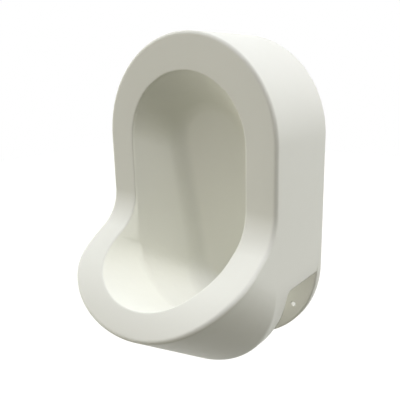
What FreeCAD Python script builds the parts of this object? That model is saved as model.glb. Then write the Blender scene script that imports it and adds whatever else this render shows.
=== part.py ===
import FreeCAD, Part
import os
from math import atan, cos, pi, radians, sin, tan

# Wall hung urinal in vitreous china, of the waterless kind: the bowl drains through a lift-out
# trap cartridge into a housing hidden in the hollow behind the bowl.
#
# Millimetres. X to the right, +Y into the wall, +Z up. The wall is the plane y = 0, and the
# origin lies on it, midway between the two lower fixing holes.

V = FreeCAD.Vector
X_AXIS = V(1, 0, 0)
Y_AXIS = V(0, 1, 0)
Z_AXIS = V(0, 0, 1)
SIDES = {"left": -1, "right": 1}

# ---------------------------------------------------------------- china, outside
body_width = 360.0
top_centre_height = 324.0      # centre of the round top, above the fixing holes
china_wall = 9.0
front_depth = 170.0            # wall to the flat front of the rim
bend_drop = 102.0              # where the rim starts to run forward, below the top centre
bend_radius = 74.0
rim_slope = 58.0               # degrees from upright
nose_radius = 215.0
nose_reach = 364.0             # depth that the nose arc would reach if it ran on to upright
lip_depth = 342.5              # wall to the lowest point of the lip
lip_drop = 290.0               # that point, below the top centre
under_slope = 33.4             # fall of the underside towards the wall, degrees
rim_edge_radius = 6.5
taper_depth = 159.0            # wall to where the body starts to draw in over the trap
taper_blend = 10.0             # length each side of that over which the taper sets in
taper_rate = 0.458             # loss of half width per millimetre of depth
taper_lift = 0.494             # the same for the lowest line, off the underside's fall
side_end_rise = 1.5            # where the flat sides end there, above the centre of the round end

# ---------------------------------------------------------------- china, opening and bowl
rim_width = 57.0               # flat of the rim beside the opening
opening_top_drop = 6.0         # centre of the opening's round top, below the top centre
opening_edge_depth = 317.0     # wall to the lowest point of the opening's edge
opening_low_drop = 250.5       # that point, below the top centre
opening_land = 4.0             # straight band inside the opening's edge
bowl_low_drop = 325.8          # lowest line of the bowl at that band, below the top centre
side_draft = 25.0              # how far the side walls close in behind that band, degrees
ceiling_drop_rate = 0.345      # extra fall of the arched ceiling per millimetre of depth
floor_drop_rate = 0.60         # fall of the bowl's round bottom per millimetre of depth
back_lean = 7.8                # lean of the bowl's back away from the wall, degrees
back_depth_low = 47.0          # wall to the back of the bowl, back_level_drop below the top centre
back_level_drop = 262.0
back_fillet = 45.0
opening_edge_radius = 2.5

# ---------------------------------------------------------------- china, mounting side
flange_thickness = 16.0
flange_low_centre = 86.0       # centre of the flange's round bottom, above the fixing holes
flange_edge_radius = 4.0
pocket_top = 77.0              # underside of the body's side above each fixing pocket
pocket_depth = 126.0           # wall to the front end of each pocket
pocket_corner_radius = 13.0
stations = 5                   # outlines that a curved stretch of the body is drawn through
fixing_inset = 46.5            # centre of each fixing hole, in from the body's side
fixing_hole_diameter = 9.5
window_inset = 62.0            # sides of the opening in the back, in from the body's sides
window_top_drop = 30.0         # centre of the window's round top, below the top centre
window_low_centre = 0.0        # centre of its round bottom, level with the fixing holes
margin = 60.0                  # overrun of cutting tools past the faces that they cut
overrun = 1.0                  # short overrun, where a long one would reach another wall
picking_gap = 1.0              # an edge this close to a plane or a radius counts as lying on it
near = 0.01                    # how close a point lies to a curve that it is on

# ---------------------------------------------------------------- drain and trap
drain_depth = 110.0            # wall to the centre line of the drain
sump_radius = 42.0             # flat-bottomed recess round the drain
sump_depth = 5.7               # floor of the recess, below the bowl at the drain
drain_land = 12.0              # thickness of the china under the sump
drain_land_radius = 50.0
drain_hole_radius = 31.0
seal_thickness = 2.0
thread_clearance = 0.1

collar_flange_radius = 39.0
collar_flange_thickness = 2.5
collar_flange_taper = 0.8      # the flange's top is this much smaller in radius than its underside
collar_sleeve_radius = 29.0
collar_bore_radius = 25.0
collar_length = 32.0

housing_flange_radius = 43.0
housing_flange_thickness = 5.0
housing_neck_length = 10.0
housing_radius = 34.0
housing_wall = 3.0
housing_height = 50.0
outlet_stub_end = 52.0         # wall to the end of the housing's outlet stub
stub_wall = 2.8
cleanout_radius = 12.0
cleanout_head_radius = 16.0
cleanout_head_thickness = 4.0
cleanout_boss_length = 3.0     # flat boss that the plug seals on, ahead of the housing

pipe_radius = 20.0
pipe_wall = 2.0
pipe_clearance = 0.2
pipe_insertion = 22.0          # how far the pipe enters the outlet stub
pipe_past_wall = 30.0
pipe_bead_radius = 22.5
pipe_bead_length = 2.0
slip_nut_radius = 28.5
slip_nut_thread_length = 12.0
slip_seal_length = 5.0
slip_seal_taper = 1.0
slip_nut_end = 3.0
slip_nut_chamfer = 1.0
slip_nut_grooves = 16
slip_nut_groove_radius = 1.6

cartridge_clearance = 0.05     # between the cartridge's rings and the collar's bore
cartridge_radius = 24.0
cartridge_wall = 2.5
cartridge_flange_radius = 31.0
cartridge_flange_thickness = 2.5
cartridge_length = 40.0
ledge_radius = 17.0            # opening in the cartridge's floor
ledge_thickness = 2.0
ring_section_radius = 1.0
ring_depths = {"upper": 8.0, "lower": 22.0}    # below the cartridge's seat
membrane_flange_thickness = 1.5
membrane_wall = 1.2
membrane_length = 18.0
membrane_slit = 2.8            # outside width of the closed lips
membrane_top_share = 0.8       # half width of the skirt's top, as a share of its radius
retainer_height = 5.0
retainer_step = 1.0            # the retainer's top is this much wider than the ledge's opening

cover_radius = 35.0
cover_rim_height = 2.5
cover_rise = 9.0
cover_thickness = 2.2
cover_rim_extra = 2.0          # the rim's wall is this much thicker than the dome's
cover_slots = 14
cover_slot_width = 3.2
cover_slot_inner = 11.0
cover_slot_outer = 28.0
cover_knob_radius = 5.0
cover_knob_height = 3.0
cover_knob_root = 1.0          # how far the knob's foot reaches into the dome
cover_knob_edge_radius = 1.5

# ---------------------------------------------------------------- hangers
hanger_inset = 100.0           # centre of each hanger, in from the body's side
hanger_drop = 70.0             # bearing edge of the china's hanger slots, below the crown
hanger_slot_width = 46.0
hanger_slot_height = 20.0
hanger_recess_depth = 7.0
hanger_recess_height = 48.0
bracket_width = 40.0
bracket_thickness = 3.0
bracket_plate_height = 44.0
bracket_lip_height = 14.0
bracket_play = 3.0             # between the bracket's lip and the china
pad_thickness = 1.5
screw_spacing = 20.0
screw_top_drop = 14.0          # upper screw below the bearing edge
screw_radius = 2.5
screw_length = 40.0
screw_head_radius = 5.0
screw_head_height = 3.0
screw_head_face_share = 0.6    # radius of the head's flat face, as a share of the head's
screw_head_edge_share = 0.4    # height of the head's straight edge, as a share of the head's
screw_hole_clearance = 0.3
plug_radius = 4.0
plug_length = 50.0
plug_tip_length = 8.0          # solid end past the screw's hole


# ---------------------------------------------------------------- shared shapes
def side(y, z):
    return V(0, y, z)


def obround(y, radius, top_z, low_z):
    """Closed outline in the plane at depth y: two half circles joined by upright sides."""
    right_top, crown, left_top = V(radius, y, top_z), V(0, y, top_z + radius), V(-radius, y, top_z)
    right_low, foot, left_low = V(radius, y, low_z), V(0, y, low_z - radius), V(-radius, y, low_z)
    return Part.Wire([
        Part.Arc(right_top, crown, left_top).toShape(),
        Part.makeLine(left_top, left_low),
        Part.Arc(left_low, foot, right_low).toShape(),
        Part.makeLine(right_low, right_top),
    ])


def loft(sections, ruled=True):
    solid = Part.makeLoft(sections, True, ruled)
    if solid.Volume < 0:
        solid.reverse()
    return solid


def side_prism(edges):
    """Solid from a closed outline in the side view, wider than the body and centred on it."""
    face = Part.Face(Part.Wire(edges))
    face.translate(V(-body_width, 0, 0))
    return face.extrude(V(2 * body_width, 0, 0))


def turned(outline, centre, axis=Z_AXIS):
    """Solid of revolution; outline holds (radius, height along the axis) corners."""
    points = [V(r, 0, h) for r, h in outline]
    points.append(points[0])
    solid = Part.Face(Part.makePolygon(points)).revolve(V(0, 0, 0), Z_AXIS, 360)
    if axis is Y_AXIS:
        solid.rotate(V(0, 0, 0), X_AXIS, -90)
    solid.translate(centre)
    return solid


def cylinder(radius, start, axis, length):
    return Part.makeCylinder(radius, length, start, axis)


def block(x0, x1, y0, y1, z0, z1):
    return Part.makeBox(x1 - x0, y1 - y0, z1 - z0, V(x0, y0, z0))


def samples(edge):
    first, last = edge.ParameterRange
    return [edge.valueAt(first + (last - first) * k / 4) for k in range(5)]


# ---------------------------------------------------------------- china: outer form
body_radius = body_width / 2
taper_start = -taper_depth - taper_blend


def taper(y):
    """Length over which the body has drawn in at depth y; it sets in gently."""
    run = y + taper_depth
    if run < -taper_blend:
        return 0
    if run > taper_blend:
        return run
    return (run + taper_blend) ** 2 / (4 * taper_blend)


def underside(y):
    """Lowest line of the body's straight fall from the lip towards the wall."""
    return top_centre_height - lip_drop - tan(radians(under_slope)) * (y + lip_depth)


def lower_radius(y):
    return body_radius - taper_rate * taper(y)


def lower_centre(y):
    """Height of the centre of the body's round lower end at depth y."""
    return underside(y) + taper_lift * taper(y) + lower_radius(y)


# behind taper_start the flat sides end at this level
side_level = lower_centre(taper_start) + side_end_rise


def rim_profile(inset):
    """Region behind the rim's front surface in the side view, set back by inset."""
    slope = radians(rim_slope)
    bend_y = -front_depth - bend_radius
    bend_z = top_centre_height - bend_drop
    nose_y = -nose_reach + nose_radius
    # the straight slope runs from the end of the bend to the start of the nose
    run = (bend_y + bend_radius * cos(slope) - nose_y + nose_radius * cos(slope)) / sin(slope)
    nose_z = bend_z - bend_radius * sin(slope) - run * cos(slope) - nose_radius * sin(slope)

    def on_bend(angle):
        radius = bend_radius + inset
        return side(bend_y + radius * cos(angle), bend_z - radius * sin(angle))

    def on_nose(angle):
        radius = nose_radius - inset
        return side(nose_y - radius * cos(angle), nose_z + radius * sin(angle))

    top = top_centre_height + body_radius + margin
    low = nose_z - body_width
    corners = [side(margin, low), side(margin, top), side(inset - front_depth, top)]
    return [
        Part.makeLine(side(inset - nose_reach, low), corners[0]),
        Part.makeLine(corners[0], corners[1]),
        Part.makeLine(corners[1], corners[2]),
        Part.makeLine(corners[2], on_bend(0)),
        Part.Arc(on_bend(0), on_bend(slope / 2), on_bend(slope)).toShape(),
        Part.makeLine(on_bend(slope), on_nose(slope)),
        Part.Arc(on_nose(slope), on_nose(slope / 2), on_nose(0)).toShape(),
        Part.makeLine(on_nose(0), side(inset - nose_reach, low)),
    ]


def pocket_region(inset):
    """Side view of the space under the body's sides, for the two fixing pockets."""
    top = pocket_top + inset
    front = -pocket_depth - inset
    r = pocket_corner_radius + inset
    low = top - body_width
    centre_y = front + r
    turn = side(centre_y - r * cos(pi / 4), top - r + r * sin(pi / 4))
    return [
        Part.makeLine(side(margin, top), side(centre_y, top)),
        Part.Arc(side(centre_y, top), turn, side(front, top - r)).toShape(),
        Part.makeLine(side(front, top - r), side(front, low)),
        Part.makeLine(side(front, low), side(margin, low)),
        Part.makeLine(side(margin, low), side(margin, top)),
    ]


def spaced(start, end):
    return [start + (end - start) * k / (stations - 1) for k in range(stations)]


def drawn_in(y, inset):
    """Outline at depth y where the body draws in: the sides curve under to the round bottom."""
    centre_z = lower_centre(y)
    drop = side_level - centre_z
    half = body_radius - inset
    reach = lower_radius(y) - inset
    loss = half - reach
    top_right, top_left = V(half, y, side_level), V(-half, y, side_level)
    if loss < near:
        end_right, end_left = V(half, y, centre_z), V(-half, y, centre_z)
        right = Part.makeLine(end_right, top_right)
        left = Part.makeLine(top_left, end_left)
    else:
        # an arc leaves the flat side at side_level and runs into the bottom's arc
        radius = (half ** 2 - reach ** 2 + drop ** 2) / (2 * loss)
        lean = atan(drop / (radius - half))
        end_right = V(reach * cos(lean), y, centre_z - reach * sin(lean))
        end_left = V(-end_right.x, y, end_right.z)
        bulge = V(half - radius + radius * cos(lean / 2), y, side_level - radius * sin(lean / 2))
        right = Part.Arc(end_right, bulge, top_right).toShape()
        left = Part.Arc(top_left, V(-bulge.x, y, bulge.z), end_left).toShape()
    bottom = Part.Arc(end_left, V(0, y, centre_z - reach), end_right).toShape()
    return Part.Wire([Part.makeLine(top_right, top_left), left, bottom, right])


def trunk(inset):
    front = -nose_reach - margin
    radius = body_radius - inset
    swept = loft([
        obround(y, radius, top_centre_height, underside(y) + body_radius) for y in (front, 0)
    ])
    return swept.common(side_prism(rim_profile(inset)))


def low_rear(inset):
    """Lower rear of the body, from where it starts to draw in back to the wall."""
    front = -pocket_depth - inset
    blend_end = taper_blend - taper_depth
    depths = spaced(taper_start, blend_end) + [(blend_end + front) / 2, front]
    ahead = loft([drawn_in(y, inset) for y in depths], ruled=False)
    above = loft([drawn_in(y, inset) for y in spaced(front, 0)], ruled=False)
    # between the pockets only the round underside of the bowl runs on to the wall
    belly = loft([
        obround(y, lower_radius(y) - inset, side_level, lower_centre(y)) for y in (front, 0)
    ])
    return ahead.fuse(above.cut(side_prism(pocket_region(inset)))).fuse(belly)


def is_rim_edge(edge, profile, reach):
    """True for the edges that run round the rim's front surface, out to |x| = reach."""
    box = edge.BoundBox
    if box.YLength < near and box.ZLength < near:
        return False
    points = samples(edge)
    if max(abs(p.x) for p in points) > reach:
        return False
    flat = [Part.Vertex(0, p.y, p.z) for p in points]
    return all(v.distToShape(profile)[0] < near for v in flat)


def outer_form(inset, edge_radius=0.0):
    """The body's outside as one solid, or the inside of its walls when inset by their thickness."""
    main = trunk(inset)
    if edge_radius:
        profile = Part.Wire(rim_profile(inset))
        edges = [e for e in main.Edges if is_rim_edge(e, profile, body_width)]
        main = main.makeFillet(edge_radius, edges)
    replaced = block(
        -body_width, body_width, taper_start, margin, -2 * body_width, side_level,
    )
    return main.cut(replaced).fuse(low_rear(inset))


# ---------------------------------------------------------------- china: bowl
opening_radius = body_radius - rim_width
draft_depth = front_depth - opening_land


def bowl_centre(y):
    """Height of the centre of the bowl's round bottom at depth y, ahead of the flat front."""
    at_edge = top_centre_height - opening_low_drop + opening_radius
    fall_rate = (bowl_low_drop - opening_low_drop) / (opening_edge_depth - draft_depth)
    return at_edge - fall_rate * (y + opening_edge_depth)


# the bowl draws in behind the plane y = -draft_depth
draft_rate = tan(radians(side_draft))


def behind_back_wall(growth):
    """Everything behind the bowl's leaning back wall, as a large block."""
    size = 4 * body_width
    space = block(-size / 2, size / 2, growth, size, -size / 2, size / 2)
    space.rotate(V(0, 0, 0), X_AXIS, back_lean)
    space.translate(V(0, -back_depth_low, top_centre_height - back_level_drop))
    return space


def is_back_edge(edge):
    box = edge.BoundBox
    return box.YMin > picking_gap - draft_depth and box.YMax < -picking_gap


def bowl_form(growth):
    """The bowl's hollow as one solid, or the outside of its walls when grown by their thickness."""
    top = top_centre_height - opening_top_drop
    low = bowl_centre(-draft_depth)
    front = -nose_reach - margin
    radius = opening_radius + growth
    at_draft = obround(-draft_depth, radius, top, low)
    mouth = loft([obround(front, radius, top, bowl_centre(front)), at_draft])
    at_wall = obround(
        0, radius - draft_depth * draft_rate,
        top - ceiling_drop_rate * draft_depth, low - floor_drop_rate * draft_depth,
    )
    tapered = loft([at_draft, at_wall]).cut(behind_back_wall(growth))
    back_edges = [e for e in tapered.Edges if is_back_edge(e)]
    return mouth.fuse(tapered.makeFillet(back_fillet + growth, back_edges))


# ---------------------------------------------------------------- china: mounting side
def back_flange():
    outline = [
        obround(y, body_radius, top_centre_height, flange_low_centre) for y in (-flange_thickness, 0)
    ]
    plate = loft(outline)
    front_edges = [e for e in plate.Edges if e.BoundBox.YMax < picking_gap - flange_thickness]
    return plate.makeFillet(flange_edge_radius, front_edges)


def back_window():
    """Opening in the back of the china, through which the trap is fitted."""
    top = top_centre_height - window_top_drop
    radius = body_radius - window_inset
    return loft([
        obround(y, radius, top, window_low_centre) for y in (-flange_thickness - margin, margin)
    ])


hanger_x = body_radius - hanger_inset
hanger_level = top_centre_height + body_radius - hanger_drop


def hanger_cutouts():
    cutouts = []
    for sign in SIDES.values():
        x = sign * hanger_x
        slot = block(
            x - hanger_slot_width / 2, x + hanger_slot_width / 2, -flange_thickness - margin / 2, margin,
            hanger_level - hanger_slot_height, hanger_level,
        )
        recess = block(
            x - hanger_slot_width / 2, x + hanger_slot_width / 2, -hanger_recess_depth, margin,
            hanger_level - hanger_recess_height, hanger_level,
        )
        cutouts += [slot, recess]
    return cutouts


def fixing_holes():
    start = -flange_thickness - overrun
    x = body_radius - fixing_inset
    return [
        cylinder(fixing_hole_diameter / 2, V(sign * x, start, 0), Y_AXIS, margin)
        for sign in SIDES.values()
    ]


drain_x_y = V(0, -drain_depth, 0)
into_bowl = draft_depth - drain_depth
bowl_at_drain = (
    bowl_centre(-draft_depth) - floor_drop_rate * into_bowl - (opening_radius - draft_rate * into_bowl)
)
sump_level = bowl_at_drain - sump_depth
land_level = sump_level - drain_land


def at_drain(z):
    return V(0, -drain_depth, z)


def ceramic_body():
    hollow = outer_form(china_wall).cut(bowl_form(china_wall))
    hollow = hollow.cut(cylinder(drain_land_radius, at_drain(land_level), Z_AXIS, margin))
    ahead_of_flange = block(
        -body_width, body_width, -2 * nose_reach, -flange_thickness, -2 * body_width, 2 * body_width,
    )
    china = outer_form(0, rim_edge_radius).fuse(back_flange())
    china = china.cut(bowl_form(0))
    profile = Part.Wire(rim_profile(0))
    reach = opening_radius + picking_gap
    china = china.makeFillet(
        opening_edge_radius, [e for e in china.Edges if is_rim_edge(e, profile, reach)]
    )
    cuts = [hollow.common(ahead_of_flange), hollow.common(back_window())]
    cuts += hanger_cutouts() + fixing_holes()
    cuts.append(cylinder(sump_radius, at_drain(sump_level), Z_AXIS, margin))
    cuts.append(cylinder(drain_hole_radius, at_drain(land_level - overrun), Z_AXIS, margin))
    for cut in cuts:
        china = china.cut(cut)
    return china


# ---------------------------------------------------------------- drain fittings
collar_seat = sump_level + seal_thickness
cartridge_seat = collar_seat + collar_flange_thickness
housing_top = land_level - seal_thickness
# the outlet runs out level with the housing's floor
outlet_level = housing_top - housing_height + pipe_radius + pipe_clearance + stub_wall
outlet_axis_point = V(0, 0, outlet_level)


def collar_seal():
    return turned([
        (collar_sleeve_radius + thread_clearance, sump_level), (collar_flange_radius, sump_level),
        (collar_flange_radius, collar_seat), (collar_sleeve_radius + thread_clearance, collar_seat),
    ], drain_x_y)


def waste_collar():
    """Flanged sleeve that clamps the china against the housing below it."""
    low = collar_seat - collar_length
    return turned([
        (collar_bore_radius, low), (collar_sleeve_radius, low), (collar_sleeve_radius, collar_seat),
        (collar_flange_radius, collar_seat), (collar_flange_radius - collar_flange_taper, cartridge_seat),
        (collar_bore_radius, cartridge_seat),
    ], drain_x_y)


def housing_seal():
    inner = collar_sleeve_radius + thread_clearance
    return turned([
        (inner, housing_top), (housing_flange_radius, housing_top),
        (housing_flange_radius, land_level), (inner, land_level),
    ], drain_x_y)


def outlet_tube(radius, near, far):
    return cylinder(radius, V(0, near, outlet_level), Y_AXIS, far - near)


# the clean-out faces away from the wall, in line with the outlet
cleanout_face = -drain_depth - housing_radius - cleanout_boss_length
cleanout_point = V(0, cleanout_face, outlet_level)


def trap_housing():
    neck = collar_sleeve_radius + thread_clearance
    shoulder = housing_top - housing_neck_length
    low = housing_top - housing_height
    chamber = housing_radius - housing_wall
    shell = turned([
        (0, low), (housing_radius, low), (housing_radius, housing_top - housing_flange_thickness),
        (housing_flange_radius, housing_top - housing_flange_thickness),
        (housing_flange_radius, housing_top), (0, housing_top),
    ], drain_x_y)
    room = turned([
        (0, low + housing_wall), (chamber, low + housing_wall), (chamber, shoulder),
        (neck, shoulder), (neck, housing_top + overrun), (0, housing_top + overrun),
    ], drain_x_y)
    bore = pipe_radius + pipe_clearance
    stub = outlet_tube(bore + stub_wall, -drain_depth, -outlet_stub_end)
    boss = outlet_tube(cleanout_head_radius, cleanout_face, -drain_depth)
    passage = outlet_tube(bore, -outlet_stub_end - pipe_insertion, margin)
    inlet = outlet_tube(pipe_radius - pipe_wall, -drain_depth, margin)
    cleanout = outlet_tube(cleanout_radius, cleanout_face - overrun, -drain_depth)
    housing = shell.fuse(stub).fuse(boss)
    for cut in (room, passage, inlet, cleanout):
        housing = housing.cut(cut)
    return housing


def cleanout_seal():
    return turned([
        (cleanout_radius, -seal_thickness), (cleanout_head_radius, -seal_thickness),
        (cleanout_head_radius, 0), (cleanout_radius, 0),
    ], cleanout_point, Y_AXIS)


def cleanout_plug():
    """Screw plug in the housing's front, with a slot to turn it by."""
    thread = cleanout_radius - thread_clearance
    inner_end = cleanout_boss_length + housing_wall
    face = -seal_thickness - cleanout_head_thickness
    body = turned([
        (0, face), (cleanout_head_radius, face), (cleanout_head_radius, -seal_thickness),
        (thread, -seal_thickness), (thread, inner_end), (0, inner_end),
    ], cleanout_point, Y_AXIS)
    half = cleanout_head_thickness / 2
    slot = block(
        -cleanout_head_radius, cleanout_head_radius, cleanout_face + face, cleanout_face + face + half,
        outlet_level - half, outlet_level + half,
    )
    return body.cut(slot)


# ---------------------------------------------------------------- outlet
def outlet_pipe():
    inner = pipe_radius - pipe_wall
    start = -outlet_stub_end - pipe_insertion
    return turned([
        (inner, start), (pipe_radius, start), (pipe_radius, -pipe_bead_length),
        (pipe_bead_radius, -pipe_bead_length), (pipe_bead_radius, 0), (pipe_radius, 0),
        (pipe_radius, pipe_past_wall), (inner, pipe_past_wall),
    ], outlet_axis_point, Y_AXIS)


def slip_seal():
    outer = pipe_radius + pipe_clearance + stub_wall
    start = -outlet_stub_end
    return turned([
        (pipe_radius, start), (outer, start), (outer - slip_seal_taper, start + slip_seal_length),
        (pipe_radius, start + slip_seal_length),
    ], outlet_axis_point, Y_AXIS)


def slip_nut():
    """Ribbed nut that squeezes the slip seal between the outlet stub and the pipe."""
    thread = pipe_radius + pipe_clearance + stub_wall + thread_clearance
    start = -outlet_stub_end - slip_nut_thread_length
    shoulder = -outlet_stub_end + slip_seal_length
    end = shoulder + slip_nut_end
    bore = pipe_radius + pipe_clearance
    nut = turned([
        (thread, start), (slip_nut_radius, start), (slip_nut_radius, end - slip_nut_chamfer),
        (slip_nut_radius - slip_nut_chamfer, end),
        (bore, end), (bore, shoulder), (thread, shoulder),
    ], outlet_axis_point, Y_AXIS)
    for k in range(slip_nut_grooves):
        angle = 2 * pi * k / slip_nut_grooves
        x = slip_nut_radius * cos(angle)
        z = outlet_level + slip_nut_radius * sin(angle)
        foot = V(x, start - overrun, z)
        groove = cylinder(slip_nut_groove_radius, foot, Y_AXIS, end - start + 2 * overrun)
        nut = nut.cut(groove)
    return nut


# ---------------------------------------------------------------- trap cartridge
cartridge_bore = cartridge_radius - cartridge_wall
ledge_level = cartridge_seat - cartridge_length + ledge_thickness


def cartridge_body():
    low = cartridge_seat - cartridge_length
    rim = cartridge_seat + cartridge_flange_thickness
    cup = turned([
        (ledge_radius, low), (cartridge_radius, low), (cartridge_radius, cartridge_seat),
        (cartridge_flange_radius, cartridge_seat), (cartridge_flange_radius, rim),
        (cartridge_bore, rim), (cartridge_bore, ledge_level), (ledge_radius, ledge_level),
    ], drain_x_y)
    for depth in ring_depths.values():
        centre = cartridge_seat - depth
        floor = cartridge_radius - ring_section_radius - cartridge_clearance
        mouth = cartridge_radius + overrun
        groove = turned([
            (floor, centre - ring_section_radius), (mouth, centre - ring_section_radius),
            (mouth, centre + ring_section_radius), (floor, centre + ring_section_radius),
        ], drain_x_y)
        cup = cup.cut(groove)
    return cup


def sealing_ring(depth):
    reach = collar_bore_radius - cartridge_clearance
    ring = Part.makeTorus(reach - ring_section_radius, ring_section_radius)
    ring.translate(at_drain(cartridge_seat - depth))
    return ring


def lips_outline(z, half_length, half_width):
    """Racetrack outline across the drain's centre line, long in X."""
    y = -drain_depth
    straight = half_length - half_width
    return Part.Wire([
        Part.makeLine(V(-straight, y - half_width, z), V(straight, y - half_width, z)),
        Part.Arc(V(straight, y - half_width, z), V(half_length, y, z),
                 V(straight, y + half_width, z)).toShape(),
        Part.makeLine(V(straight, y + half_width, z), V(-straight, y + half_width, z)),
        Part.Arc(V(-straight, y + half_width, z), V(-half_length, y, z),
                 V(-straight, y - half_width, z)).toShape(),
    ])


def valve_membrane():
    """Rubber one-way valve: a round skirt that closes to two flat lips."""
    top = ledge_level + membrane_flange_thickness
    outer = ledge_radius - thread_clearance
    inner = outer - membrane_wall
    low = ledge_level - membrane_length
    skirt = loft([
        lips_outline(top, outer, outer * membrane_top_share),
        lips_outline(low, outer, membrane_slit / 2),
    ])
    passage = loft([
        lips_outline(top, inner, inner * membrane_top_share),
        lips_outline(low, inner, membrane_slit / 2 - membrane_wall),
    ])
    flange = cylinder(cartridge_bore, at_drain(ledge_level), Z_AXIS, membrane_flange_thickness)
    return flange.fuse(skirt).cut(passage)


def membrane_retainer():
    low = ledge_level + membrane_flange_thickness
    return turned([
        (ledge_radius, low), (cartridge_bore, low), (cartridge_bore, low + retainer_height),
        (ledge_radius + retainer_step, low + retainer_height),
    ], drain_x_y)


def trap_cover():
    """Domed strainer over the cartridge, with radial slots and a finger knob."""
    seat = cartridge_seat + cartridge_flange_thickness
    sphere_rise = cover_rise - cover_rim_height
    sphere_radius = (cover_radius ** 2 + sphere_rise ** 2) / (2 * sphere_rise)
    centre_z = seat + cover_rise - sphere_radius
    dome = Part.makeSphere(sphere_radius, at_drain(centre_z))
    under = Part.makeSphere(sphere_radius - cover_thickness, at_drain(centre_z))
    disc = cylinder(cover_radius, at_drain(seat), Z_AXIS, cover_rise + overrun)
    rim_inner = cover_radius - cover_thickness - cover_rim_extra
    room = cylinder(rim_inner, at_drain(seat - overrun), Z_AXIS, cover_rise + 2 * overrun)
    cover = disc.common(dome).cut(room.common(under))
    for k in range(cover_slots):
        slot = block(
            cover_slot_inner, cover_slot_outer, -cover_slot_width / 2, cover_slot_width / 2,
            seat, seat + 2 * cover_rise,
        )
        slot.rotate(V(0, 0, 0), Z_AXIS, 360 * k / cover_slots)
        slot.translate(drain_x_y)
        cover = cover.cut(slot)
    knob_top = seat + cover_rise + cover_knob_height
    knob_low = seat + cover_rise - cover_knob_root
    knob = cylinder(cover_knob_radius, at_drain(knob_low), Z_AXIS, knob_top - knob_low)
    top_edges = [e for e in knob.Edges if e.BoundBox.ZMin > knob_top - near]
    knob = knob.makeFillet(cover_knob_edge_radius, top_edges)
    return cover.fuse(knob)


# ---------------------------------------------------------------- hangers
def screw_places(sign):
    x = sign * hanger_x
    high = hanger_level - screw_top_drop
    return [(x, high), (x, high - screw_spacing)]


def hanger_bracket(sign):
    """Bent steel hook: a plate on the wall, a shelf under the china and an upturned lip."""
    x = sign * hanger_x
    half = bracket_width / 2
    shelf_top = hanger_level - pad_thickness
    lip_back = -flange_thickness - bracket_play
    plate = block(x - half, x + half, -bracket_thickness, 0, shelf_top - bracket_plate_height, shelf_top)
    shelf = block(
        x - half, x + half, lip_back - bracket_thickness, 0, shelf_top - bracket_thickness, shelf_top,
    )
    lip = block(
        x - half, x + half, lip_back - bracket_thickness, lip_back,
        shelf_top - bracket_thickness, shelf_top + bracket_lip_height,
    )
    bracket = plate.fuse(shelf).fuse(lip).removeSplitter()
    for px, pz in screw_places(sign):
        hole = cylinder(screw_radius + screw_hole_clearance, V(px, -margin, pz), Y_AXIS, 2 * margin)
        bracket = bracket.cut(hole)
    return bracket


def hanger_pads():
    pads = []
    for sign in SIDES.values():
        x = sign * hanger_x
        pads.append(block(
            x - bracket_width / 2, x + bracket_width / 2, -flange_thickness, -hanger_recess_depth,
            hanger_level - pad_thickness, hanger_level,
        ))
    return Part.makeCompound(pads)


def hanger_screws():
    screws = []
    for sign in SIDES.values():
        for x, z in screw_places(sign):
            screws.append(turned([
                (0, -bracket_thickness - screw_head_height),
                (screw_head_radius * screw_head_face_share, -bracket_thickness - screw_head_height),
                (screw_head_radius, -bracket_thickness - screw_head_height * screw_head_edge_share),
                (screw_head_radius, -bracket_thickness), (screw_radius, -bracket_thickness),
                (screw_radius, screw_length - 2 * screw_radius), (0, screw_length),
            ], V(x, 0, z), Y_AXIS))
    return Part.makeCompound(screws)


def wall_plugs():
    bore = screw_radius + thread_clearance
    bore_end = plug_length - plug_tip_length
    plugs = []
    for sign in SIDES.values():
        for x, z in screw_places(sign):
            plugs.append(turned([
                (bore, 0), (plug_radius, 0), (plug_radius, plug_length), (0, plug_length),
                (0, bore_end), (bore, bore_end),
            ], V(x, 0, z), Y_AXIS))
    return Part.makeCompound(plugs)


def all_parts():
    parts = {
        "ceramic_body": ceramic_body(),
        "collar_seal": collar_seal(),
        "waste_collar": waste_collar(),
        "housing_seal": housing_seal(),
        "trap_housing": trap_housing(),
        "cleanout_seal": cleanout_seal(),
        "cleanout_plug": cleanout_plug(),
        "outlet_pipe": outlet_pipe(),
        "slip_seal": slip_seal(),
        "slip_nut": slip_nut(),
        "cartridge_body": cartridge_body(),
        "valve_membrane": valve_membrane(),
        "membrane_retainer": membrane_retainer(),
        "trap_cover": trap_cover(),
        "hanger_pads": hanger_pads(),
        "hanger_screws": hanger_screws(),
        "wall_plugs": wall_plugs(),
    }
    for name, depth in ring_depths.items():
        parts[name + "_sealing_ring"] = sealing_ring(depth)
    for name, sign in SIDES.items():
        parts["hanger_bracket_" + name] = hanger_bracket(sign)
    return parts


os.makedirs("parts", exist_ok=True)
for node, shape in all_parts().items():
    print(f"{node:24s} valid {shape.isValid()} solids {len(shape.Solids)} volume {shape.Volume:.0f}")
    shape.exportStep("parts/" + node + ".step")
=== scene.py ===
from math import cos, pi, radians, sin

import bmesh
import bpy
from mathutils import Matrix, Vector


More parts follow.
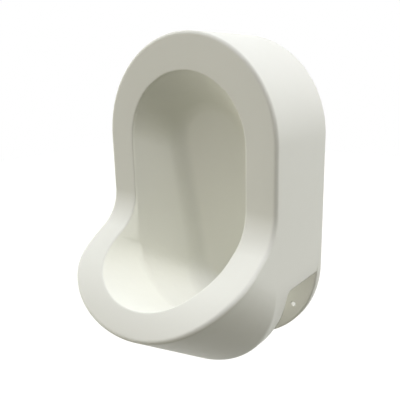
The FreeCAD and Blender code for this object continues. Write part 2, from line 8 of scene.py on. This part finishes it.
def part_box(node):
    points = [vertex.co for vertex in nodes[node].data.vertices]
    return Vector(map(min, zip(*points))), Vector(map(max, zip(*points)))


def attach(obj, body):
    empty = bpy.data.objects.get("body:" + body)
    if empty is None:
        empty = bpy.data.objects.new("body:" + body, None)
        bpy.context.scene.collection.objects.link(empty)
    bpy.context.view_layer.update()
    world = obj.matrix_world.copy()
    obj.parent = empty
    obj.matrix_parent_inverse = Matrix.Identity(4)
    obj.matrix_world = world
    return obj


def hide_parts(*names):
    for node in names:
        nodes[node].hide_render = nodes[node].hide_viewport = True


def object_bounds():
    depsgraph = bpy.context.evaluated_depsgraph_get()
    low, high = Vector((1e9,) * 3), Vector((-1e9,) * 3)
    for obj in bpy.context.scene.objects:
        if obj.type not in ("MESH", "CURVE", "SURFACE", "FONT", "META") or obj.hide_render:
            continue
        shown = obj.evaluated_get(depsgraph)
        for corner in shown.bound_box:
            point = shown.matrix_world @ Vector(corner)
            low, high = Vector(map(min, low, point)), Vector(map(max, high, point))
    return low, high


# Wall hung urinal: the finishes, the ribbed wall plugs, and the floor, light and camera round it.
# Metres, in the frame's own directions: X to the right, +Y into the wall, +Z up. Angles of edges,
# lamps and camera are in degrees.

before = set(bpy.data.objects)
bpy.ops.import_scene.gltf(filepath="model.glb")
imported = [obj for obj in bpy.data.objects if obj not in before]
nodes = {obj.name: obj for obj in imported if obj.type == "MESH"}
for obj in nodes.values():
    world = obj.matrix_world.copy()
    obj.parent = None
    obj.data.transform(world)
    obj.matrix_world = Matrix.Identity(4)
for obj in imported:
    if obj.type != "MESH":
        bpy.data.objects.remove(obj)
cad_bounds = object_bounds()
drain_low, drain_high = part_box("trap_cover")
drain_axis = (drain_low + drain_high) / 2

weld_distance = 0.00001        # corners closer than this are one


# ---------------------------------------------------------------- shader helpers
def new_material(name, colour, roughness, **sockets):
    """A material with its even values set on the shader's own sockets."""
    made = bpy.data.materials.new(name)
    made.use_nodes = True
    shader = shader_of(made)
    shader.inputs["Base Color"].default_value = (*colour, 1)
    shader.inputs["Roughness"].default_value = roughness
    for socket, value in sockets.items():
        shader.inputs[socket.replace("_", " ")].default_value = value
    return made


def shader_of(made):
    return made.node_tree.nodes["Principled BSDF"]


def add_node(owner, kind, values=(), **settings):
    """A new node of a material or world; values are (input, number or output socket) pairs."""
    node = owner.node_tree.nodes.new(kind)
    for setting, value in settings.items():
        setattr(node, setting, value)
    for socket, value in values:
        if isinstance(value, bpy.types.NodeSocket):
            owner.node_tree.links.new(value, node.inputs[socket])
        else:
            node.inputs[socket].default_value = value
    return node


def place(made, centre=(0, 0, 0), stretch=(1, 1, 1)):
    """Object coordinates about a centre, stretched along the piece's own directions."""
    coordinates = add_node(made, "ShaderNodeTexCoord").outputs["Object"]
    shift = [-c * s for c, s in zip(centre, stretch)]
    mapping = add_node(
        made, "ShaderNodeMapping", [("Vector", coordinates), ("Location", shift), ("Scale", stretch)]
    )
    return mapping.outputs["Vector"]


def noise(made, vector, scale, detail=3.0):
    node = add_node(
        made, "ShaderNodeTexNoise", [("Vector", vector), ("Scale", scale), ("Detail", detail)]
    )
    return node.outputs["Fac"]


def ramp(made, source, start, end, low=0.0, high=1.0):
    """Numbers from low to high, while the source goes from start to end."""
    node = add_node(made, "ShaderNodeMapRange", [
        ("Value", source), ("From Min", start), ("From Max", end), ("To Min", low), ("To Max", high),
    ])
    return node.outputs["Result"]


def spread(made, source, low=0.0, high=1.0):
    """Numbers from low to high that follow the middle part of a noise."""
    return ramp(made, source, 0.3, 0.7, low, high)


def blend(made, share, colour_a, colour_b):
    """Colour between two others. A colour Mix node has its share at 0 and its colours at 6 and 7."""
    node = add_node(made, "ShaderNodeMix", data_type="RGBA")
    for socket, value in ((0, share), (6, colour_a), (7, colour_b)):
        if isinstance(value, bpy.types.NodeSocket):
            made.node_tree.links.new(value, node.inputs[socket])
        else:
            node.inputs[socket].default_value = (*value, 1)
    return node.outputs[2]


def feed(made, socket, output):
    made.node_tree.links.new(output, shader_of(made).inputs[socket])


def relief(made, height, depth, strength, edge_radius=0.0):
    """Fine bumps. With an edge radius, the light also sees the piece's edges as softly rounded."""
    values = [("Height", height), ("Distance", depth), ("Strength", strength)]
    if edge_radius:
        soft_edge = add_node(made, "ShaderNodeBevel", [("Radius", edge_radius)], samples=8)
        values.append(("Normal", soft_edge.outputs["Normal"]))
    bump = add_node(made, "ShaderNodeBump", values)
    feed(made, "Normal", bump.outputs["Normal"])


# ---------------------------------------------------------------- finishes
china_colour = (0.62, 0.62, 0.54)
china_thin_glaze = (0.613, 0.614, 0.533)
china_thick_glaze = (0.627, 0.626, 0.547)
bare_china_colour = (0.57, 0.55, 0.48)
glaze_end = -0.0009            # depth at which the glaze starts to thin, just ahead of the wall
bare_start = -0.0003           # depth from which the china is bare
bare_china_roughness = 0.85


def glazed_china():
    made = new_material("glazed_china", china_colour, 0.40, Specular_IOR_Level=0.15)
    where = place(made)
    # the glaze pools very slightly, so its tone drifts over hand-sized patches
    drift = spread(made, noise(made, where, scale=7.0))
    tone = blend(made, drift, china_thin_glaze, china_thick_glaze)
    # the face that stands on the kiln shelf and later meets the wall is left bare
    depth = add_node(made, "ShaderNodeSeparateXYZ", [("Vector", where)]).outputs["Y"]
    bare = ramp(made, depth, glaze_end, bare_start)
    feed(made, "Base Color", blend(made, bare, tone, bare_china_colour))
    sheen = spread(made, noise(made, where, scale=55.0, detail=4.0), 0.37, 0.43)
    feed(made, "Roughness", ramp(made, bare, 0.0, 1.0, sheen, bare_china_roughness))
    ripple = noise(made, where, scale=120.0, detail=2.0)
    relief(made, ripple, depth=0.00012, strength=0.35, edge_radius=0.004)
    return made


def moulded_plastic(name, colour, light_colour, roughness, grain_scale=1600.0):
    """Moulded plastic with a fine spark-eroded grain and faint flow marks."""
    made = new_material(name, colour, roughness, Specular_IOR_Level=0.45)
    flow = spread(made, noise(made, place(made, stretch=(1, 1, 4)), scale=40.0))
    feed(made, "Base Color", blend(made, flow, colour, light_colour))
    grain = noise(made, place(made), grain_scale, detail=2.0)
    feed(made, "Roughness", spread(made, grain, roughness - 0.06, roughness + 0.08))
    relief(made, grain, depth=0.00006, strength=0.6)
    return made


def sealing_rubber():
    made = new_material("sealing_rubber", (0.022, 0.022, 0.023), 0.72, Specular_IOR_Level=0.3)
    where = place(made)
    bloom = spread(made, noise(made, where, scale=90.0, detail=5.0))
    feed(made, "Base Color", blend(made, bloom, (0.018, 0.018, 0.019), (0.040, 0.040, 0.040)))
    feed(made, "Roughness", spread(made, noise(made, where, scale=300.0), 0.62, 0.82))
    relief(made, noise(made, where, scale=1400.0, detail=2.0), depth=0.00005, strength=0.5)
    return made


def turned_steel(name, colour, roughness):
    """Stainless steel with the fine rings that a lathe leaves round the drain's centre line."""
    made = new_material(name, colour, roughness, Metallic=1.0)
    where = place(made, centre=(drain_axis.x, drain_axis.y, 0))
    across = add_node(made, "ShaderNodeVectorMath", [(0, where), (1, (1, 1, 0))], operation="MULTIPLY")
    radius = add_node(
        made, "ShaderNodeVectorMath", [(0, across.outputs["Vector"])], operation="LENGTH"
    ).outputs["Value"]
    rings = add_node(
        made, "ShaderNodeTexNoise", [("W", radius), ("Scale", 2600.0), ("Detail", 3.0)],
        noise_dimensions="1D",
    ).outputs["Fac"]
    feed(made, "Roughness", spread(made, rings, roughness - 0.07, roughness + 0.09))
    stain = spread(made, noise(made, where, scale=60.0, detail=4.0))
    stained_colour = [c * 0.93 for c in colour]
    feed(made, "Base Color", blend(made, stain, colour, stained_colour))
    relief(made, rings, depth=0.00003, strength=0.7)
    return made


def zinc_plate(name, colour, roughness):
    """Bright zinc on steel: a faint patchwork of crystals with fine drawing lines."""
    made = new_material(name, colour, roughness, Metallic=1.0)
    crystals = add_node(made, "ShaderNodeTexVoronoi", [("Vector", place(made)), ("Scale", 170.0)])
    patch = spread(made, crystals.outputs["Distance"])
    dull_colour = [c * 0.86 for c in colour]
    feed(made, "Base Color", blend(made, patch, colour, dull_colour))
    lines = noise(made, place(made, stretch=(60, 1, 1)), scale=45.0)
    feed(made, "Roughness", spread(made, lines, roughness - 0.05, roughness + 0.10))
    relief(made, lines, depth=0.00003, strength=0.5)
    return made


def drawn_pipe():
    """Pale grey pipe with the faint lengthwise lines of extrusion."""
    made = new_material("drawn_pipe", (0.56, 0.57, 0.57), 0.42, Specular_IOR_Level=0.45)
    lines = noise(made, place(made, stretch=(1, 0.02, 1)), scale=900.0, detail=2.0)
    feed(made, "Roughness", spread(made, lines, 0.36, 0.50))
    tone = spread(made, noise(made, place(made), scale=30.0))
    feed(made, "Base Color", blend(made, tone, (0.55, 0.56, 0.56), (0.59, 0.60, 0.60)))
    relief(made, lines, depth=0.00003, strength=0.6)
    return made


def soft_silicone():
    made = new_material(
        "soft_silicone", (0.50, 0.51, 0.50), 0.5,
        Specular_IOR_Level=0.4, Subsurface_Weight=0.3, Subsurface_Scale=0.004,
    )
    where = place(made)
    haze = spread(made, noise(made, where, scale=220.0, detail=4.0))
    feed(made, "Base Color", blend(made, haze, (0.47, 0.48, 0.47), (0.55, 0.56, 0.55)))
    feed(made, "Roughness", spread(made, noise(made, where, scale=500.0), 0.42, 0.58))
    relief(made, noise(made, where, scale=900.0, detail=2.0), depth=0.00004, strength=0.4)
    return made


china = glazed_china()
black_plastic = moulded_plastic("black_plastic", (0.030, 0.030, 0.033), (0.040, 0.040, 0.043), 0.46)
blue_plastic = moulded_plastic("blue_plastic", (0.035, 0.135, 0.27), (0.045, 0.155, 0.30), 0.38)
grey_nylon = moulded_plastic(
    "grey_nylon", (0.27, 0.28, 0.29), (0.31, 0.32, 0.33), 0.50, grain_scale=900.0
)
rubber = sealing_rubber()
cover_steel = turned_steel("cover_steel", (0.66, 0.66, 0.64), 0.26)
collar_steel = turned_steel("collar_steel", (0.60, 0.60, 0.58), 0.34)
bracket_zinc = zinc_plate("bracket_zinc", (0.58, 0.59, 0.60), 0.34)
screw_zinc = zinc_plate("screw_zinc", (0.56, 0.55, 0.50), 0.30)
pipe_grey = drawn_pipe()
silicone = soft_silicone()


# ---------------------------------------------------------------- pieces on the CAD nodes
def shade_smooth(work, sharp_angle):
    """Even shading over every edge that bends by less than the sharp angle."""
    for face in work.faces:
        face.smooth = True
    for edge in work.edges:
        edge.smooth = len(edge.link_faces) == 2 and edge.calc_face_angle(pi) < radians(sharp_angle)


def add_object(name, mesh, finish):
    mesh.materials.append(finish)
    made = bpy.data.objects.new(name, mesh)
    bpy.context.scene.collection.objects.link(made)
    return made


def smooth_copy(node, piece_name, body, finish, sharp_angle=30.0):
    """The node's own shape with its triangles joined up, so that light runs smoothly over it."""
    mesh = nodes[node].data.copy()
    mesh.name = piece_name
    work = bmesh.new()
    work.from_mesh(mesh)
    bmesh.ops.remove_doubles(work, verts=work.verts, dist=weld_distance)
    bmesh.ops.dissolve_degenerate(work, edges=work.edges, dist=weld_distance)
    shade_smooth(work, sharp_angle)
    work.to_mesh(mesh)
    work.free()
    mesh.materials.clear()
    piece = add_object(piece_name, mesh, finish)
    even = piece.modifiers.new("even_shading", "WEIGHTED_NORMAL")
    even.keep_sharp = True
    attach(piece, body)
    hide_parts(node)


smooth_copy("ceramic_body", "china_body", "urinal", china, sharp_angle=25.0)
# node, piece, body, material slot, finish
dressed = (
    ("collar_seal", "drain_gasket", "urinal", "seal_rubber", rubber),
    ("waste_collar", "drain_collar", "urinal", "collar_steel", collar_steel),
    ("housing_seal", "housing_gasket", "urinal", "seal_rubber", rubber),
    ("trap_housing", "trap_chamber", "urinal", "housing_plastic", black_plastic),
    ("cleanout_seal", "plug_washer", "urinal", "seal_rubber", rubber),
    ("cleanout_plug", "rodding_plug", "urinal", "housing_plastic", black_plastic),
    ("outlet_pipe", "waste_pipe", "urinal", "pipe_plastic", pipe_grey),
    ("slip_seal", "pipe_washer", "urinal", "seal_rubber", rubber),
    ("slip_nut", "ribbed_nut", "urinal", "housing_plastic", black_plastic),
    ("cartridge_body", "trap_cup", "cartridge", "cartridge_plastic", blue_plastic),
    ("upper_sealing_ring", "upper_ring", "cartridge", "seal_rubber", rubber),
    ("lower_sealing_ring", "lower_ring", "cartridge", "seal_rubber", rubber),
    ("valve_membrane", "duckbill_valve", "cartridge", "membrane_rubber", silicone),
    ("membrane_retainer", "valve_clamp_ring", "cartridge", "cartridge_plastic", blue_plastic),
    ("trap_cover", "slotted_strainer", "cover", "cover_steel", cover_steel),
    ("hanger_bracket_left", "left_hook", "urinal", "bracket_steel", bracket_zinc),
    ("hanger_bracket_right", "right_hook", "urinal", "bracket_steel", bracket_zinc),
    ("hanger_pads", "hook_pads", "urinal", "seal_rubber", rubber),
    ("hanger_screws", "hook_screws", "urinal", "screw_steel", screw_zinc),
)
for node, piece_name, body, slot, finish in dressed:
    smooth_copy(node, piece_name, body, finish)


# ---------------------------------------------------------------- ribbed wall plugs
plug_radius = 0.004            # over the ribs
plug_waist = plug_radius - 0.0007
plug_bore = 0.0026
plug_sides = 28
plug_mouth = 0.0025            # smooth stretch at the wall
plug_mouth_slope = 0.0007
plug_ribs = 9
ribs_start = 0.0042
ribless_length = 0.012         # stretches without ribs, at both ends together
rib_crest_start, rib_crest_end, rib_end = 0.35, 0.55, 0.65    # as shares of the ribs' pitch
bore_point_gap = 0.008         # plug's far end to the point of its bore
bore_end_gap = 0.009           # plug's far end to the end of the bore's straight wall
tip_length = 0.004
tip_edge = 0.0006              # height of the tip's blunt point
tip_share = 0.6                # radius of that point, as a share of the plug's
fin_root = plug_radius - 0.0011
fin_tip = plug_radius + 0.0008
fin_length = 0.016
fin_thickness = 0.0007
fin_middle = 0.0145            # wall to the middle of each fin


def plug_outline(length):
    """Half outline of one plug as (distance from its axis, depth in the wall) corners."""
    pitch = (length - ribless_length) / plug_ribs
    corners = [(0.0, length - bore_point_gap), (plug_bore, length - bore_end_gap), (plug_bore, 0.0)]
    corners += [(plug_radius, 0.0), (plug_radius, plug_mouth)]
    corners += [(plug_waist, plug_mouth + plug_mouth_slope)]
    for rib in range(plug_ribs):
        start = ribs_start + rib * pitch
        corners += [(plug_waist, start), (plug_radius, start + rib_crest_start * pitch)]
        corners += [(plug_radius, start + rib_crest_end * pitch), (plug_waist, start + rib_end * pitch)]
    corners += [(plug_waist, length - tip_length), (tip_share * plug_radius, length - tip_edge)]
    corners += [(0.0, length)]
    return corners


def add_plug(work, x, z, length):
    corners = [work.verts.new((x + reach, depth, z)) for reach, depth in plug_outline(length)]
    edges = [work.edges.new(pair) for pair in zip(corners, corners[1:])]
    bmesh.ops.spin(
        work, geom=corners + edges, cent=(x, 0, z), axis=(0, 1, 0), angle=2 * pi,
        steps=plug_sides, use_merge=True,
    )
    # a fin on each side stops the plug from turning in its hole
    for sign in (-1, 1):
        fin = bmesh.ops.create_cube(work, size=1.0)["verts"]
        bmesh.ops.scale(work, verts=fin, vec=(fin_tip - fin_root, fin_length, fin_thickness))
        fin_x = x + sign * (fin_root + fin_tip) / 2
        bmesh.ops.translate(work, verts=fin, vec=(fin_x, fin_middle, z))


def screw_plugs():
    """The four plugs that the hanger screws grip in, one in each corner of their node's box."""
    low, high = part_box("wall_plugs")
    work = bmesh.new()
    for x in (low.x + plug_radius, high.x - plug_radius):
        for z in (low.z + plug_radius, high.z - plug_radius):
            add_plug(work, x, z, high.y)
    bmesh.ops.remove_doubles(work, verts=work.verts, dist=weld_distance)
    bmesh.ops.recalc_face_normals(work, faces=work.faces)
    shade_smooth(work, sharp_angle=35.0)
    mesh = bpy.data.meshes.new("screw_plugs")
    work.to_mesh(mesh)
    work.free()
    piece = add_object("screw_plugs", mesh, grey_nylon)
    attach(piece, "urinal")
    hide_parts("wall_plugs")


screw_plugs()


# ---------------------------------------------------------------- floor, light and camera
floor_drop = 0.60              # below the object's lowest point
floor_half_size = 6.0
floor_colour = (0.19, 0.185, 0.155)
floor_lift = 0.82              # raises that colour to near white where the floor is looked at
lamp_width = 50.0              # angle across each lamp, wide enough for soft shadows


def background_share(owner):
    """1 for rays that look at the background, straight, in a reflection or through glass."""
    path = add_node(owner, "ShaderNodeLightPath").outputs
    total = path["Is Camera Ray"]
    for other in ("Is Glossy Ray", "Is Transmission Ray"):
        join = add_node(owner, "ShaderNodeMath", [(0, total), (1, path[other])], operation="MAXIMUM")
        total = join.outputs["Value"]
    return total


def pale_floor():
    """Looks near white and keeps the object's shadow, and throws little light up at the object."""
    made = new_material("pale_floor", floor_colour, 0.9, Specular_IOR_Level=0.0)
    lift = add_node(
        made, "ShaderNodeMath", [(0, background_share(made)), (1, floor_lift)], operation="MULTIPLY",
    ).outputs["Value"]
    glow = add_node(made, "ShaderNodeEmission", [("Color", (1, 1, 1, 1)), ("Strength", lift)])
    both = add_node(made, "ShaderNodeAddShader", [
        (0, shader_of(made).outputs["BSDF"]), (1, glow.outputs["Emission"]),
    ])
    surface = made.node_tree.nodes["Material Output"].inputs["Surface"]
    made.node_tree.links.new(both.outputs["Shader"], surface)
    return made


def floor():
    work = bmesh.new()
    bmesh.ops.create_grid(work, x_segments=1, y_segments=1, size=floor_half_size)
    bmesh.ops.translate(work, verts=work.verts, vec=(0, 0, cad_bounds[0].z - floor_drop))
    mesh = bpy.data.meshes.new("floor")
    work.to_mesh(mesh)
    work.free()
    piece = add_object("floor", mesh, pale_floor())


def surroundings():
    """White where they are looked at. They light nothing, which is left to the lamps."""
    world = bpy.data.worlds.new("surroundings")
    bpy.context.scene.world = world
    world.use_nodes = True
    back = world.node_tree.nodes["Background"]
    back.inputs["Color"].default_value = (1, 1, 1, 1)
    world.node_tree.links.new(background_share(world), back.inputs["Strength"])


def soft_lamp(name, azimuth, elevation, share, colour, shadow):
    """Distant broad lamp; share is the brightness that it gives a surface facing it."""
    lamp = bpy.data.lights.new(name, "SUN")
    lamp.energy = pi * share
    lamp.angle = radians(lamp_width)
    lamp.color = colour
    lamp.use_shadow = shadow
    made = bpy.data.objects.new(name, lamp)
    # metal and glaze show the white surroundings, not the lamps, so that they don't clip to white
    made.visible_glossy = False
    turn, lift = radians(azimuth), radians(elevation)
    towards = Vector((sin(turn) * cos(lift), -cos(turn) * cos(lift), sin(lift)))
    made.rotation_euler = (-towards).to_track_quat("-Z", "Y").to_euler()
    bpy.context.scene.collection.objects.link(made)


# name, azimuth from the front towards the right, elevation, share, colour, whether it throws a
# shadow; the lamps without one stand for light that comes back from a room's walls
lamps = (
    ("right_back_lamp", 135, 35, 0.83, (0.92, 0.93, 1.0), False),
    ("even_top_lamp", 0, 75, 0.69, (0.83, 0.84, 1.0), False),
    ("left_lamp", 270, 0, 0.60, (1.0, 0.98, 0.93), True),
    ("back_lamp", 180, 0, 0.78, (0.83, 0.86, 1.0), False),
    ("high_left_lamp", 270, 35, 0.49, (0.94, 1.0, 1.0), True),
    ("front_left_lamp", 315, 0, 0.20, (1.0, 1.0, 0.87), True),
    ("even_front_left_lamp", 315, 0, 0.22, (1.0, 0.93, 0.89), False),
    ("high_front_right_lamp", 45, 35, 0.17, (1.0, 0.94, 0.85), True),
    ("high_right_lamp", 90, 35, 0.13, (1.0, 1.0, 0.96), True),
)
floor()
surroundings()
for lamp in lamps:
    soft_lamp(*lamp)

photo_width = 400              # pixels, as high as it is wide
half_pixel = 0.5 / photo_width    # the camera was fitted to the middles of pixels
camera_place = (0.5416555, -0.82157657, 0.43575615)
camera_azimuth = 37.99066      # from the front towards the right
camera_elevation = 14.26303
camera_roll = -1.44314
sensor_width = 36.0            # millimetres, as the focal length
focal_length = 44.985


def photo_camera():
    """Camera at the photograph's place and angle."""
    azimuth, elevation, roll = (radians(a) for a in (camera_azimuth, camera_elevation, camera_roll))
    ahead = Vector((-sin(azimuth) * cos(elevation), cos(azimuth) * cos(elevation), -sin(elevation)))
    level_right = ahead.cross(Vector((0, 0, 1))).normalized()
    level_up = level_right.cross(ahead)
    right = level_right * cos(roll) + level_up * sin(roll)
    up = level_up * cos(roll) - level_right * sin(roll)
    lens = bpy.data.cameras.new("photo_camera")
    lens.sensor_width = sensor_width
    lens.lens = focal_length
    lens.shift_x = -half_pixel
    lens.shift_y = half_pixel
    camera = bpy.data.objects.new("photo_camera", lens)
    bpy.context.scene.collection.objects.link(camera)
    turned = Matrix((right, up, -ahead)).transposed().to_4x4()
    camera.matrix_world = Matrix.Translation(camera_place) @ turned
    bpy.context.scene.camera = camera


photo_camera()
bpy.context.scene.view_settings.view_transform = "Standard"
